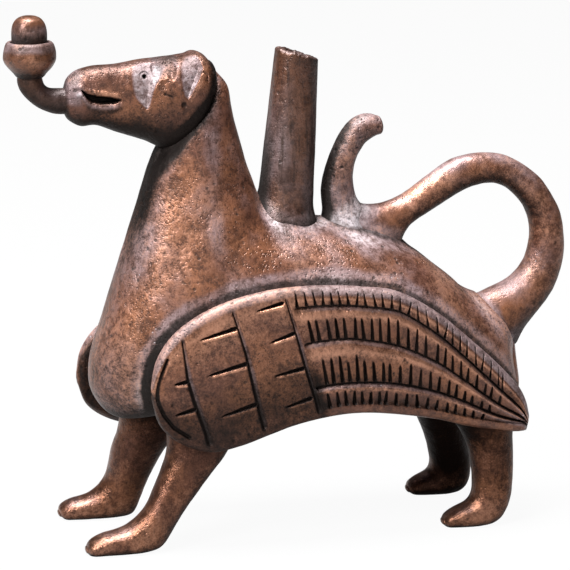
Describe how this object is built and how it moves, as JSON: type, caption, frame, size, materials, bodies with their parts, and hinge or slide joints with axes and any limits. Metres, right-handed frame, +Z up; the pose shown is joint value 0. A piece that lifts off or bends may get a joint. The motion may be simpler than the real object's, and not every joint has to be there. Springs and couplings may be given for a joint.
{
  "type": "candlestick",
  "caption": "Bronze candlestick: a standing winged beast with feathered wings, a candle shaft on its back, a looped tail to hold it by and a bud on a stem in its mouth.",
  "frame": {"origin": "middle of the bounding box in X and Y, on the plane of the soles", "axes": "+Z up, +X from the bud and head towards the tail, -Y the beast's left side"},
  "size_m": [0.18, 0.0584, 0.1653],
  "materials": {
    "brown_bronze": "cast bronze with a brown patina, pitted, half worn",
    "worn_bronze": "cast bronze rubbed to a soft shine, dark in the carved lines",
    "dark_bronze": "cast bronze with a nearly black patina"
  },
  "bodies": {
    "root": {"body": "brown_bronze", "head": "worn_bronze", "left_wing": "worn_bronze", "right_wing": "worn_bronze", "front_left_leg": "brown_bronze", "front_right_leg": "brown_bronze", "hind_left_leg": "brown_bronze", "hind_right_leg": "brown_bronze", "candle_shaft": "brown_bronze", "tail_loop": "worn_bronze", "tail_curl": "brown_bronze", "mouth_stem": "dark_bronze", "bud_cup": "brown_bronze", "bud_kernel": "worn_bronze"}
  },
  "joints": []
}
